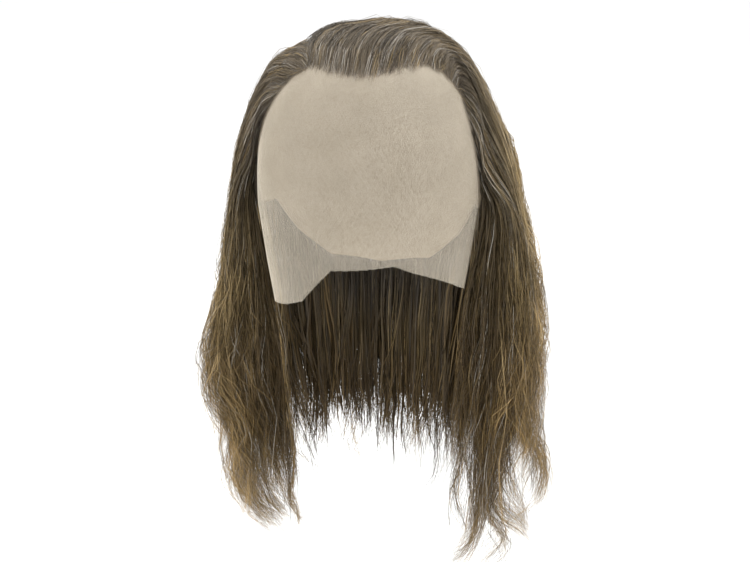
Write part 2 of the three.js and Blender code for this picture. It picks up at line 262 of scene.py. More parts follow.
def catmull_rom(controls, count):
    """Samples smooth curves through control points of the shape (hairs, controls, 3)."""
    first = 2 * controls[:, :1] - controls[:, 1:2]
    last = 2 * controls[:, -1:] - controls[:, -2:-1]
    padded = np.concatenate([first, controls, last], axis=1)
    at = np.linspace(0, controls.shape[1] - 1, count)
    span = np.minimum(at.astype(int), controls.shape[1] - 2)
    t = (at - span)[None, :, None]
    p0, p1, p2, p3 = (padded[:, span + k] for k in range(4))
    return 0.5 * (
        2 * p1
        + (p2 - p0) * t
        + (2 * p0 - 5 * p1 + 4 * p2 - p3) * t ** 2
        + (3 * p1 - p0 - 3 * p2 + p3) * t ** 3
    )


# Meshes

class Patch:
    """Points, four-sided faces and UVs that are joined into one mesh."""

    def __init__(self):
        self.points = []
        self.quads = []
        self.uvs = []
        self.count = 0

    def add(self, points, quads, uvs):
        self.points.append(points)
        self.quads.append(quads + self.count)
        self.uvs.append(uvs)
        self.count += len(points)

    def piece(self, name, material, nodes=()):
        """Makes the object, in metres, on the root body."""
        points = np.concatenate(self.points)
        quads = np.concatenate(self.quads)
        uvs = np.concatenate(self.uvs)
        mesh = bpy.data.meshes.new(name)
        mesh.vertices.add(len(points))
        mesh.vertices.foreach_set("co", (points * MM).astype(np.float32).ravel())
        mesh.loops.add(quads.size)
        mesh.loops.foreach_set("vertex_index", quads.astype(np.int32).ravel())
        mesh.polygons.add(len(quads))
        mesh.polygons.foreach_set("loop_start", np.arange(0, quads.size, 4, dtype=np.int32))
        mesh.update(calc_edges=True)
        layer = mesh.uv_layers.new(name="OFBake")
        layer.data.foreach_set("uv", uvs[quads.ravel()].astype(np.float32).ravel())
        mesh.shade_smooth()
        mesh.materials.append(material)
        made = bpy.data.objects.new(name, mesh)
        bpy.context.collection.objects.link(made)
        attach(made, "root")
        if nodes:
            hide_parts(*nodes)
        return made


def grid_quads(columns, rows, closed=False):
    """Faces of a grid of points in the order [column][row]."""
    spans = columns if closed else columns - 1
    i, j = np.meshgrid(np.arange(spans), np.arange(rows - 1), indexing="ij")
    a = i * rows + j
    b = ((i + 1) % columns) * rows + j
    return np.stack([a, a + 1, b + 1, b], axis=-1).reshape(-1, 4)


# Hair

# A ribbon's UVs are the share along it and its tint. Tints from GREY_FROM up stand for grey hair.
TINT_SPREAD = 0.003
DARKEST_TINT = 0.01
BRIGHTEST_TINT = 0.83
GREY_FROM = 0.86
GREY_BLEND = (GREY_FROM - 0.012, GREY_FROM - 0.006)
GREY_TINTS = (GREY_FROM + 0.01, 0.99)

# The tints of tresses, and how far bunches stray from their tress and hairs from their bunch
MIDDLE_TINT = 0.40
TRESS_TINT_SPREAD = 0.13
BUNCH_TINT_SPREAD = 0.22
HAIR_TINT_SPREAD = 0.08

# Painted shade and light: hair is darker near the inner front edges and deep inside, lighter on the
# outer sides and outermost, and differs in random bands along a flow.
PAINTED_LIGHT_AZIMUTHS = [76, 79, 83, 88, 96, 112, 135]
PAINTED_LIGHT_TINTS = [-0.34, -0.10, 0.07, 0.16, 0.18, 0.04, -0.04]
DEPTH_PAINTED_LIGHT = 0.5
EVEN_DEPTH = 0.7
BAND_TINT = 0.12
BAND_STEP = 0.7

# Hairs in a bunch
BUNCH = 4

# Roots, and the way from low and high ones over the dome
ROOT_GROW = CAP_WALL + 0.3
LOW_ROOT_DROPS = (18, 44)
LOW_ROOT_LOOSE = 0.25
LOW_ROOT_STEP = 38.0
DOME_PARTS = (0.12, 0.34, 0.66)
LOW_LIFT = 2.0
HIGH_LIFT = 6.0
LEAST_LIFT = 0.6
LIFT_LENGTH = 26
PEEL_SHARES = (-0.25, 0.45)

# Scatters: how far bunches stray from their tress, and hairs from their bunch
PLACE_APART = 0.035
DEPTH_SCATTER = (0.11, 0.04)
HOOK_SCATTER = (3, 2)
DRIFT_SCATTER = (1.4, 0.8)
ROOT_TURN_SCATTER = (1.4, 0.5)
ROOT_DROP_SCATTER = (1.2, 0.5)
DOME_SCATTER_X = (1.0, 0.3)
DOME_SCATTER_Y = (1.4, 0.4)
DOME_PART_SCATTER_X = (0.3, 0.1)
DOME_PART_SCATTER_Y = (0.4, 0.15)
LOOSENESS = 1.5

# Tips: how they hook inward and drift, how their drops spread and how bunches and hairs end early
FULL_HOOK_LENGTH = 160.0
HOOK_POWER = 5
HOOK_SPREAD = 5
WISP_HOOK = 1.6
DRIFT_SPREAD = 2.0
DENSE_TIP_SPREAD = 15
WISP_TIP_SPREAD = 9
THINNING_SHAPE = 1.2
BUNCH_THINNING = 0.7
HAIR_THINNING = 0.4
MOST_THINNING = 2.6

# How tightly a tress holds its hairs together towards its tip
WISP_HOLDS = (0.55, 0.85)
TRESS_HOLDS = (0.15, 0.55)
HOLD_SHARES = (0.3, 0.9)
STRAY_HOLD = 0.1
HOLD_AXES = np.array([1, 1, 0.25])

# Waves that a tress shares and the frizz of its bunches. Lengths are along the hair.
FEWEST_POINTS_A_WAVE = 4.2
WAVE_STRENGTH = 0.9
PHASES = (0, 6.3)
LONG_WAVE_RISE = (100, 350)
LONG_WAVE_LENGTHS = (80, 130)
LONG_WAVE_SIZES = (0.3, 1.2)
WISP_WAVE = 0.5
SHORT_WAVE_RISE = (70, 260)
SHORT_WAVE_LENGTHS = (44, 72)
SHORT_WAVE_SIZES = (0.2, 1.0)
SHORT_WAVE_SHARE = 0.5
FRIZZ_START = 30
FRIZZ_RISE = (30, 240)
LEAST_FRIZZ = 0.12
FRIZZ_GAMMA = (2.2, 0.45)
MOST_FRIZZ = 2.2
FRIZZ_SIZES = (0.6, 1.4)
STRAY_FRIZZ = 2.0
FRIZZ_LENGTHS = (42, 100)
FRIZZ_LENGTH_SHARES = (0.9, 1.1)
FRIZZ_PHASE_SPREAD = 0.7

# Ribbons: how they roll and twist, and how wide they are along them
ROLL_SPREAD = 0.7
TWIST_SPREAD = 0.5
WIDTH_SHARES = [0, 0.09, 0.6, 0.88, 1]
WIDTH_PROFILE = [0.3, 0.9, 1, 0.75, 0.2]
WIDTH_RANGE = (0.75, 1.25)
GREY_WIDTH = 0.85


def frames(paths):
    """Forward, outward and sideways directions along each path."""
    forward = unit(np.gradient(paths, axis=1))
    core = np.zeros_like(paths)
    core[..., 2] = np.minimum(paths[..., 2], -DOME_HEIGHT)
    outward = paths - core
    outward = outward - forward * np.sum(outward * forward, axis=-1, keepdims=True)
    outward = unit(outward)
    return forward, outward, np.cross(outward, forward)


def lengths_along(paths):
    steps = np.linalg.norm(np.diff(paths, axis=1), axis=-1)
    return np.concatenate([np.zeros((len(paths), 1)), np.cumsum(steps, axis=1)], axis=1)


def ribbon_quads(base):
    """Faces between pairs of points, where base is the first point of each pair but the last."""
    return np.stack([base, base + 1, base + 3, base + 2], axis=-1).reshape(-1, 4)


def add_ribbons(patch, paths, width, tints):
    """Adds one thin flat ribbon for each path. Its UVs are the share along it and its tint."""
    hairs, count, _ = paths.shape
    along = lengths_along(paths)
    share = along / along[:, -1:]
    _, outward, sideways = frames(paths)
    roll = rng.normal(0, ROLL_SPREAD, (hairs, 1)) + rng.normal(0, TWIST_SPREAD, (hairs, 1)) * share
    across = sideways * np.cos(roll)[..., None] + outward * np.sin(roll)[..., None]
    half = 0.5 * width[:, None] * np.interp(share, WIDTH_SHARES, WIDTH_PROFILE)
    points = np.stack([paths - across * half[..., None], paths + across * half[..., None]], axis=2)
    quads = ribbon_quads(2 * (np.arange(hairs)[:, None] * count + np.arange(count - 1)[None, :]))
    v = np.stack([tints - TINT_SPREAD, tints + TINT_SPREAD], axis=-1)[:, None, :]
    u = np.broadcast_to(share[:, :, None], (hairs, count, 2))
    uvs = np.stack([u, np.broadcast_to(v, u.shape)], axis=-1)
    patch.add(points.reshape(-1, 3), quads, uvs.reshape(-1, 2))


def hanging_points(flow, azimuth, depth, first_drop, tip_drop, hook, drift):
    """Control points of the hanging part of hairs, between the form and the hair's outline."""
    share = np.linspace(0, 1, HANG_POINTS)[None, :]
    drop = mix(first_drop[:, None], tip_drop[:, None], share)
    turned = azimuth[:, None] + drift[:, None] * share
    inner = head_radius(turned, -drop, CAP_WALL) + INNER_CLEARANCE
    outer = np.maximum(curtain_radius(turned, drop), inner)
    peel = 1 if flow["over"] else smooth(*PEEL_SHARES, share)
    radius = mix(inner, outer, depth[:, None] * peel)
    way_x, way_y = heading(turned)
    hooked = hook * np.clip((tip_drop - first_drop) / FULL_HOOK_LENGTH, 0, 1)
    inward = -np.sign(way_x) * hooked[:, None] * share ** HOOK_POWER
    return np.stack([way_x * radius + inward, way_y * radius, -drop], axis=-1)


def dome_points(flow, place, depth, root, shoulder, low, scatter, loose):
    """Control points of hairs that sweep over the dome, between the root and the shoulder."""
    sweep = np.where(root[:, 1] < 0, flow["sweep"], 0) * (1 - low)
    loose = loose * mix(1.0, LOW_ROOT_LOOSE, low)
    steady_x = scatter(*DOME_SCATTER_X)
    steady_y = scatter(*DOME_SCATTER_Y)
    dome = []
    for part, front, rear in zip(DOME_PARTS, *flow["puff"]):
        fuller = mix(front, rear, place / (len(flow["rows"]) - 1))
        x = mix(root[:, 0], shoulder[:, 0], part ** flow["bend"])
        y = mix(root[:, 1], shoulder[:, 1], part) + sweep * np.sin(math.pi * part)
        x = x + loose * (steady_x + scatter(*DOME_PART_SCATTER_X))
        y = y + loose * (steady_y + scatter(*DOME_PART_SCATTER_Y))
        grow = mix(LOW_LIFT, HIGH_LIFT, depth) * fuller
        straight = mix(root[:, 2], shoulder[:, 2], part)
        over_dome = np.maximum(dome_z(x, y, grow), straight)
        dome.append(np.stack([x, y, mix(over_dome, straight, low)], axis=-1))
    return np.stack(dome, axis=1)


def flow_controls(flow, place, depth, tip_drop, hook, drift, root_shift, scatter, loose):
    """Control points of hairs at places along a flow, from root to tip."""
    rows = flow["rows"]
    index = np.arange(len(rows))
    root_azimuth, root_drop, azimuth = (np.interp(place, index, rows[:, c]) for c in range(3))
    depth = depth * flow["reach"]
    root = head_point(root_azimuth + root_shift[:, 0], -root_drop + root_shift[:, 1], ROOT_GROW)
    low = smooth(*LOW_ROOT_DROPS, root_drop)
    first_drop = SHOULDER_DROP + LOW_ROOT_STEP * low if flow["over"] else root_drop + SIDE_ROOT_STEP
    hanging = hanging_points(flow, azimuth, depth, first_drop, tip_drop, hook, drift)
    if not flow["over"]:
        return np.concatenate([root[:, None], hanging], axis=1)
    dome = dome_points(flow, place, depth, root, hanging[:, 0], low, scatter, loose)
    return np.concatenate([root[:, None], dome, hanging], axis=1)


def between(paths, start, end):
    """The stretch of each path between two shares of it."""
    hairs, count, _ = paths.shape
    share = np.linspace(0, 1, count)[None, :]
    at = mix(start[:, None], end[:, None], share) * (count - 1)
    index = np.minimum(at.astype(int), count - 2)
    part = (at - index)[..., None]
    row = np.arange(hairs)[:, None]
    return mix(paths[row, index], paths[row, index + 1], part)


def plan_tresses(flow):
    """Where the tresses of a flow lie and end, how they turn, and their tints."""
    tresses = flow["tresses"]
    _, _, azimuths, dense_drops, wisp_drops = flow["rows"].T
    last = len(azimuths) - 1
    index = np.arange(last + 1)
    seat = (np.arange(tresses) + rng.uniform(0, 1, tresses)) / tresses
    place = mix(*flow.get("span", (0, last)), seat ** flow.get("crowd_front", 1.0))
    depth = mix(*flow["depth"], rng.uniform(0, 1, tresses) ** flow["depth_power"])
    wisp = rng.uniform(0, 1, tresses) < flow["wisps"]
    dense_tip = np.interp(place, index, dense_drops) + rng.normal(0, DENSE_TIP_SPREAD, tresses)
    wisp_tip = np.interp(place, index, wisp_drops) + rng.normal(0, WISP_TIP_SPREAD, tresses)
    tip = np.where(wisp, wisp_tip, dense_tip) - flow.get("early", 0)
    hook = rng.normal(flow["hook"] * np.where(wisp, WISP_HOOK, 1.0), HOOK_SPREAD)
    drift = rng.normal(0, DRIFT_SPREAD, tresses)
    # painted shade towards the inner front edges and deep inside, painted light on the outer sides and
    # outermost
    painted_light = np.interp(np.abs(np.interp(place, index, azimuths)), PAINTED_LIGHT_AZIMUTHS, PAINTED_LIGHT_TINTS)
    painted_light = painted_light + DEPTH_PAINTED_LIGHT * (depth - EVEN_DEPTH)
    band_places = np.arange(0, last + 1, BAND_STEP)
    band = BAND_TINT * np.interp(place, band_places, rng.normal(0, 1, len(band_places)))
    tint = rng.normal(MIDDLE_TINT + painted_light + band + flow.get("tint", 0), TRESS_TINT_SPREAD)
    return place, depth, wisp, tip, hook, drift, tint


def no_scatter(together, apart):
    return 0.0


def grow_flow(flow):
    """Paths, widths and tints of the hairs of one flow, gathered in tresses and bunches."""
    tress_place, tress_depth, wisp, tress_tip, tress_hook, tress_drift, tress_tint = plan_tresses(flow)
    tresses = flow["tresses"]
    hairs = tresses * flow["hairs_each"]
    count = flow["points"]
    tress_of = np.repeat(np.arange(tresses), flow["hairs_each"])
    bunch = np.arange(hairs) // BUNCH
    bunches = bunch[-1] + 1

    def scatter(together, apart):
        return rng.normal(0, together, bunches)[bunch] + rng.normal(0, apart, hairs)

    # the middle of each tress
    still = np.zeros((tresses, 2))
    tress_controls = flow_controls(
        flow, tress_place, tress_depth, tress_tip, tress_hook, tress_drift, still, no_scatter, 0.0
    )
    middle = catmull_rom(tress_controls, count)[tress_of]
    # its hairs, which keep near it towards the tip
    last = len(flow["rows"]) - 1
    place = np.clip(tress_place[tress_of] + scatter(flow["spread"], PLACE_APART), 0, last)
    depth = np.clip(tress_depth[tress_of] + scatter(*DEPTH_SCATTER), 0.0, 1.0)
    thinning = flow["thinning"]
    bunch_shorter = rng.gamma(THINNING_SHAPE, BUNCH_THINNING * thinning, bunches)[bunch]
    hair_shorter = rng.gamma(THINNING_SHAPE, HAIR_THINNING * thinning, hairs)
    tip = tress_tip[tress_of] - np.minimum(bunch_shorter + hair_shorter, MOST_THINNING * thinning)
    hook = tress_hook[tress_of] + scatter(*HOOK_SCATTER)
    drift = tress_drift[tress_of] + scatter(*DRIFT_SCATTER)
    root_drops = scatter(*flow.get("root_drops", ROOT_DROP_SCATTER))
    root_shift = np.stack([scatter(*ROOT_TURN_SCATTER), root_drops], axis=-1)
    loose = flow.get("loose", LOOSENESS)
    controls = flow_controls(flow, place, depth, tip, hook, drift, root_shift, scatter, loose)
    paths = catmull_rom(controls, count)
    hold = np.where(wisp, rng.uniform(*WISP_HOLDS, tresses), rng.uniform(*TRESS_HOLDS, tresses))
    tight = hold[tress_of][:, None] * smooth(*HOLD_SHARES, np.linspace(0, 1, count)[None, :])
    stray = rng.uniform(0, 1, hairs) < flow["stray"]
    tight = np.where(stray[:, None], STRAY_HOLD * tight, tight)
    paths = paths + tight[..., None] * (middle - paths) * HOLD_AXES
    paths = wave(paths, tress_of, bunch, stray, wisp, flow)
    lift = CAP_WALL + mix(LEAST_LIFT, flow["lift"], depth)
    clear = mix(ROOT_GROW, lift[:, None], smooth(0, LIFT_LENGTH, lengths_along(paths)))
    paths = trim(push_out_of_head(hold_near_curtain(paths), clear), flow)
    brightest = flow.get("brightest", BRIGHTEST_TINT)
    tints, grey = hair_tints(tress_tint[tress_of], bunch, flow["grey"], brightest)
    width = flow["width"] * rng.uniform(*WIDTH_RANGE, hairs) * np.where(grey, GREY_WIDTH, 1.0)
    return paths, width, tints


def trim(paths, flow):
    """Starts some hairs behind the others' roots, and cuts the flow's short ones."""
    hairs = len(paths)
    late = rng.uniform(0, flow["latest_root"], hairs)
    at_front = rng.uniform(0, 1, hairs) < flow["front_share"]
    start = np.where(at_front, 0, late) + flow.get("first_root", 0)
    end = np.ones(hairs)
    if "cut" in flow:
        end = start + rng.uniform(*flow["cut"], hairs)
    return between(paths, start, np.minimum(end, 1))


def hair_tints(middle, bunch, grey_share, brightest):
    """A tint for each hair, near that of its bunch, and which hairs are grey."""
    hairs = len(bunch)
    bunches = bunch[-1] + 1
    tints = middle + rng.normal(0, BUNCH_TINT_SPREAD, bunches)[bunch]
    tints = tints + rng.normal(0, HAIR_TINT_SPREAD, hairs)
    # half of the hairs of a grey bunch are grey
    grey_bunch = rng.uniform(0, 1, bunches) < 2 * grey_share
    grey = grey_bunch[bunch] & (np.arange(hairs) % BUNCH < BUNCH // 2)
    greys = rng.uniform(*GREY_TINTS, bunches)[bunch]
    return np.where(grey, greys, np.clip(tints, DARKEST_TINT, brightest)), grey


def wave(paths, tress_of, bunch, stray, wisp, look):
    """Waves that a tress shares, and the frizz of its bunches, both growing towards the tip."""
    hairs = len(paths)
    tresses = len(wisp)
    bunches = bunch[-1] + 1
    along = lengths_along(paths)
    shortest = FEWEST_POINTS_A_WAVE * np.max(along) / along.shape[1]
    long_rise = smooth(*LONG_WAVE_RISE, along)
    short_rise = smooth(*SHORT_WAVE_RISE, along)
    fuzzy = mix(LEAST_FRIZZ, 1.0, smooth(*FRIZZ_RISE, along)) * smooth(0, FRIZZ_START, along)
    _, outward, sideways = frames(paths)

    def turn(length, phase):
        return np.sin(2 * math.pi * along / np.maximum(length, shortest)[:, None] + phase[:, None])

    def tress_wave(lengths):
        length = rng.uniform(*lengths, tresses)[tress_of]
        return turn(length, rng.uniform(*PHASES, tresses)[tress_of])

    moved = paths.copy()
    for direction in (sideways, outward):
        long_size = look["wave"] * (rng.uniform(*LONG_WAVE_SIZES, tresses) + WISP_WAVE * wisp)[tress_of]
        long_wave = tress_wave(LONG_WAVE_LENGTHS)
        short_size = SHORT_WAVE_SHARE * look["wave"] * rng.uniform(*SHORT_WAVE_SIZES, tresses)[tress_of]
        short_wave = tress_wave(SHORT_WAVE_LENGTHS)
        bunch_frizz = np.minimum(rng.gamma(*FRIZZ_GAMMA, bunches), MOST_FRIZZ)[bunch]
        hair_frizz = rng.uniform(*FRIZZ_SIZES, hairs) * np.where(stray, STRAY_FRIZZ, 1.0)
        frizz_size = look["frizz"] * bunch_frizz * hair_frizz
        frizz_length = rng.uniform(*FRIZZ_LENGTHS, bunches)[bunch]
        frizz_length = frizz_length * rng.uniform(*FRIZZ_LENGTH_SHARES, hairs)
        frizz_phase = rng.uniform(*PHASES, bunches)[bunch] + rng.normal(0, FRIZZ_PHASE_SPREAD, hairs)
        offset = long_size[:, None] * long_rise * long_wave
        offset = offset + short_size[:, None] * short_rise * short_wave
        offset = offset + frizz_size[:, None] * fuzzy * turn(frizz_length, frizz_phase)
        moved = moved + WAVE_STRENGTH * direction * offset[..., None]
    return moved


# Looks of hair. Depth runs from the form (0) to the hair's outline (1), sizes are in millimetres,
# and roots and cuts are shares of the way along a flow's hair.
OUTER = {
    "depth": (0.6, 1.0), "depth_power": 0.7, "spread": 0.2, "stray": 0.16, "wisps": 0.14, "frizz": 3.0,
    "wave": 9.0, "width": 0.3, "grey": 0.06, "latest_root": 0.2, "front_share": 0.55, "thinning": 22,
}
INNER = {
    "depth": (0.0, 0.7), "depth_power": 1.2, "spread": 0.2, "stray": 0.12, "wisps": 0.2, "frizz": 2.3,
    "wave": 6.0, "width": 0.45, "grey": 0.02, "latest_root": 0.05, "front_share": 0.6, "thinning": 27,
    # the lower tint is painted shade on the inner hair next to the form
    "tint": -0.18,
}
FILLER = {
    "depth": (0.12, 0.55), "depth_power": 1.0, "spread": 0.2, "stray": 0.0, "wisps": 0.0, "frizz": 0.8,
    "wave": 4.0, "width": 1.5, "grey": 0.0, "latest_root": 0.1, "front_share": 0.0, "thinning": 27,
    # the lower tint and brightest tint are painted shade on the filler hair deep inside
    "tint": -0.24, "early": 46, "first_root": 0.25, "brightest": 0.26,
}
SHORT = {
    "depth": (0.2, 1.0), "depth_power": 1.0, "spread": 0.3, "stray": 0.2, "wisps": 0.0, "frizz": 1.2,
    "wave": 2.0, "width": 0.17, "grey": 0.15, "latest_root": 0.02, "front_share": 0.8, "thinning": 27,
    "cut": (0.05, 0.16), "root_drops": (1.2, 1.7), "loose": 2.5,
}
FLYAWAY = {
    "depth": (0.92, 0.98), "depth_power": 1.0, "spread": 0.6, "stray": 1.0, "wisps": 0.3, "frizz": 2.4,
    "wave": 7.0, "width": 0.19, "grey": 0.16, "latest_root": 0.3, "front_share": 0.3, "thinning": 27,
    "cut": (0.5, 1.0),
}
TEMPLE = {
    "depth": (0.1, 0.9), "depth_power": 1.0, "spread": 0.25, "stray": 0.14, "wisps": 0.15, "frizz": 2.3,
    "wave": 5.5, "width": 0.34, "grey": 0.025, "latest_root": 0.04, "front_share": 0.6, "thinning": 27,
}
TOP = {
    "depth": (0.5, 1.0), "depth_power": 0.7, "spread": 0.3, "stray": 0.25, "wisps": 0.0, "frizz": 2.2,
    "wave": 1.0, "width": 0.22, "grey": 0.2, "latest_root": 0.12, "front_share": 0.6, "thinning": 27,
    "cut": (0.25, 0.4), "loose": 2.2,
}

# Ways that hair takes: over the dome, or straight down from the sides and the nape
SWEEP_RIGHT = {
    "rows": RIGHT_OVER, "over": True, "sweep": 24, "bend": 1.7, "hook": 2, "reach": 0.94, "lift": 4.8,
    "puff": ((1.3, 1.3, 2.3), (1.2, 1.5, 0.6)),
}
SWEEP_LEFT = {
    "rows": LEFT_OVER, "over": True, "sweep": 8, "bend": 1.1, "hook": 7, "reach": 0.93, "lift": 4.4,
    "puff": ((0.2, 0.7, 1.7), (0.35, 0.8, 1.7)),
}
SWEEP_BACK = {
    "rows": BACK_OVER, "over": True, "sweep": 0, "bend": 1.0, "hook": 0, "reach": 1.0, "lift": 4.8,
    "puff": ((0.7, 1.0, 1.4), (0.7, 1.0, 1.4)),
}
FALL_RIGHT = {"rows": RIGHT_UNDER, "over": False, "hook": 2, "reach": 0.95, "lift": 3.0}
FALL_LEFT = {"rows": LEFT_UNDER, "over": False, "hook": 7, "reach": 0.93, "lift": 3.0}
FALL_BACK = {"rows": BACK_UNDER, "over": False, "hook": 0, "reach": 1.0, "lift": 3.0}


def make_flow(look, way, tresses, hairs_each, points, **more):
    """A flow of so many tresses, with the hairs in each and the points along a hair."""
    return {**look, **way, "tresses": tresses, "hairs_each": hairs_each, "points": points, **more}


# Pieces of hair: the solid that each one stands for, and its flows
HAIR_PIECES = {
    "hair_right_front": ("hair_right", [
        make_flow(OUTER, SWEEP_RIGHT, 122, 20, 35, span=(0, 7)),
    ]),
    "hair_right_rear": ("hair_right", [
        make_flow(OUTER, SWEEP_RIGHT, 66, 14, 23, span=(6, 14)),
        make_flow(TOP, SWEEP_RIGHT, 90, 14, 15, span=(0, 11)),
    ]),
    "hair_right_inner": ("hair_right", [
        make_flow(TEMPLE, FALL_RIGHT, 40, 15, 27, span=(0, 2.7)),
        make_flow(TEMPLE, SWEEP_RIGHT, 30, 14, 27, span=(0, 3.4), depth=(0.0, 0.6), sweep=10),
        make_flow(INNER, FALL_RIGHT, 50, 14, 17, crowd_front=1.2),
        make_flow(FILLER, SWEEP_RIGHT, 30, 12, 15, span=(2, 14), first_root=0.42),
        make_flow(FILLER, FALL_RIGHT, 24, 12, 13, span=(1, 7)),
    ]),
    "hair_left_front": ("hair_left", [
        # the higher tint is painted light on the left front hair
        make_flow(OUTER, SWEEP_LEFT, 110, 20, 35, span=(0, 6), thinning=14, tint=0.11),
    ]),
    "hair_left_rear": ("hair_left", [
        make_flow(OUTER, SWEEP_LEFT, 44, 14, 23, span=(5.4, 9)),
        make_flow(TOP, SWEEP_LEFT, 50, 14, 15, span=(0, 7)),
    ]),
    "hair_left_inner": ("hair_left", [
        make_flow(TEMPLE, FALL_LEFT, 40, 15, 27, span=(0, 2.7)),
        make_flow(TEMPLE, SWEEP_LEFT, 30, 14, 27, span=(0, 3.4), depth=(0.0, 0.6), sweep=4),
        make_flow(INNER, FALL_LEFT, 50, 14, 17, crowd_front=1.2),
        make_flow(FILLER, SWEEP_LEFT, 28, 12, 15, span=(2, 9)),
        make_flow(FILLER, FALL_LEFT, 24, 12, 13, span=(1, 7)),
    ]),
    "hair_behind": ("hair_back", [
        make_flow(OUTER, SWEEP_BACK, 72, 16, 23, width=0.45, root_drops=(2.6, 0.5)),
        make_flow(INNER, FALL_BACK, 60, 16, 13, depth=(0.0, 0.5)),
        make_flow(FILLER, SWEEP_BACK, 40, 12, 13, early=24),
        make_flow(FILLER, FALL_BACK, 36, 12, 13, early=24, first_root=0.05),
    ]),
    "hair_fine": (None, [
        make_flow(SHORT, SWEEP_RIGHT, 60, 12, 11, span=(0, 9.5)),
        make_flow(SHORT, SWEEP_LEFT, 30, 12, 11, span=(0, 3.4)),
        make_flow(SHORT, FALL_RIGHT, 26, 12, 11, span=(0, 3)),
        make_flow(SHORT, FALL_LEFT, 26, 12, 11, span=(0, 3)),
        make_flow(FLYAWAY, SWEEP_RIGHT, 20, 10, 29),
        make_flow(FLYAWAY, SWEEP_LEFT, 20, 10, 29),
        make_flow(FLYAWAY, SWEEP_BACK, 12, 8, 29),
    ]),
}

# Single locks that show below the rest: the solid they stand for, their tint, and for each lock
# its root's azimuth and drop, half width, number of hairs and the points (x, y, drop) on its way
LOCKS = {
    "hair_locks_right": ("hair_right", 0.42, [
        (69, 46, 12, 184, [
            (80, 6, 110), (84, 10, 180), (83, 12, 250), (85, 12, 295), (86, 12, 320), (86, 12, 349),
            (84, 12, 372), (82, 12, 388), (76, 12, 402), (68, 12, 410), (62, 12, 415),
        ]),
        (70, 56, 18, 190, [
            (82, 6, 110), (88, 10, 180), (93, 12, 250), (92, 12, 312), (92, 12, 343),
            (97, 12, 358), (105, 12, 367), (113, 12, 372), (121, 12, 378), (125, 12, 384),
        ]),
        (70, 52, 16, 116, [
            (82, 6, 110), (87, 10, 180), (90, 12, 250), (90, 12, 312), (89, 12, 350), (94, 12, 370),
            (102, 12, 382), (104, 12, 392), (98, 12, 402), (91, 12, 412), (85, 12, 418),
        ]),
        (72, 68, 9, 64, [
            (92, 8, 120), (102, 12, 180), (105, 14, 250), (103, 14, 307), (106, 14, 326),
            (108, 14, 341), (115, 14, 359), (119, 14, 372), (120, 14, 388),
        ]),
        (70, 50, 8, 72, [
            (79, 2, 110), (77, 4, 180), (73, 6, 250), (70, 8, 312), (67, 8, 334),
            (67, 8, 352), (72, 8, 370), (78, 8, 388),
        ]),
        (84, 108, 11, 130, [
            (94, 8, 150), (108, 12, 200), (114, 13, 250), (110, 13, 277), (117, 13, 294),
            (127, 13, 304), (132, 13, 314), (134, 13, 328), (132, 13, 342), (128, 13, 360),
        ]),
        (86, 110, 7, 70, [
            (96, 8, 150), (108, 12, 200), (112, 13, 250), (114, 13, 290), (122, 13, 305),
            (127, 13, 320), (127, 13, 336), (127, 13, 352),
        ]),
        (71, 64, 18, 120, [
            (88, 6, 110), (93, 10, 180), (94, 12, 250), (91, 12, 310), (93, 12, 332),
            (91, 12, 352), (86, 12, 372), (84, 12, 386),
        ]),
    ]),
    "hair_locks_left": ("hair_left", 0.47, [
        (-58, 42, 11, 230, [
            (-86, 4, 90), (-98, 8, 160), (-106, 12, 230), (-106, 12, 290), (-108, 12, 330),
            (-107, 12, 350), (-101, 12, 367), (-90, 12, 379), (-73, 12, 390),
        ]),
        (-62, 50, 12, 220, [
            (-84, 4, 100), (-92, 8, 170), (-97, 12, 240), (-96, 12, 300), (-97, 12, 342),
            (-92, 12, 362), (-82, 12, 375), (-67, 12, 388),
        ]),
        (-64, 56, 12, 190, [
            (-84, 6, 100), (-88, 10, 170), (-88, 14, 240), (-83, 14, 315), (-82, 14, 341),
            (-77, 14, 364), (-67, 14, 383),
        ]),
        (-72, 84, 10, 100, [
            (-76, 2, 120), (-75, 4, 190), (-74, 8, 260), (-72, 10, 320), (-71, 10, 345),
            (-70, 10, 360),
        ]),
        (-74, 88, 5, 90, [
            (-75, 0, 120), (-72, 2, 190), (-69, 6, 260), (-64, 10, 313), (-64, 10, 346),
            (-66, 10, 359), (-62, 10, 374), (-53, 10, 383), (-42, 10, 389), (-31, 10, 393),
        ]),
    ]),
}
LOCK_POINTS = 35
LOCK_LOOK = {"wave": 1.5, "frizz": 2.2, "width": 0.36, "grey": 0.05, "stray": 0.12}
LOCK_BUNCH_SPREAD = 0.5
LOCK_HAIR_SPREAD = 0.07
# shares along a lock, and how far it spreads there outward and towards the front and back
LOCK_SHARES = [0, 0.15, 0.3, 0.6, 0.85, 1]
LOCK_BREADTHS = [0.3, 0.48, 0.52, 0.6, 0.51, 0.33]
LOCK_DEPTHS = [0.3, 0.45, 0.7, 1.7, 1.7, 1.2]
# how much of a lock's length its bunches and hairs end early
LOCK_BUNCH_CUT = (1.3, 0.028)
LOCK_HAIR_CUT = (1.2, 0.014)
LOCK_MOST_CUT = 0.4


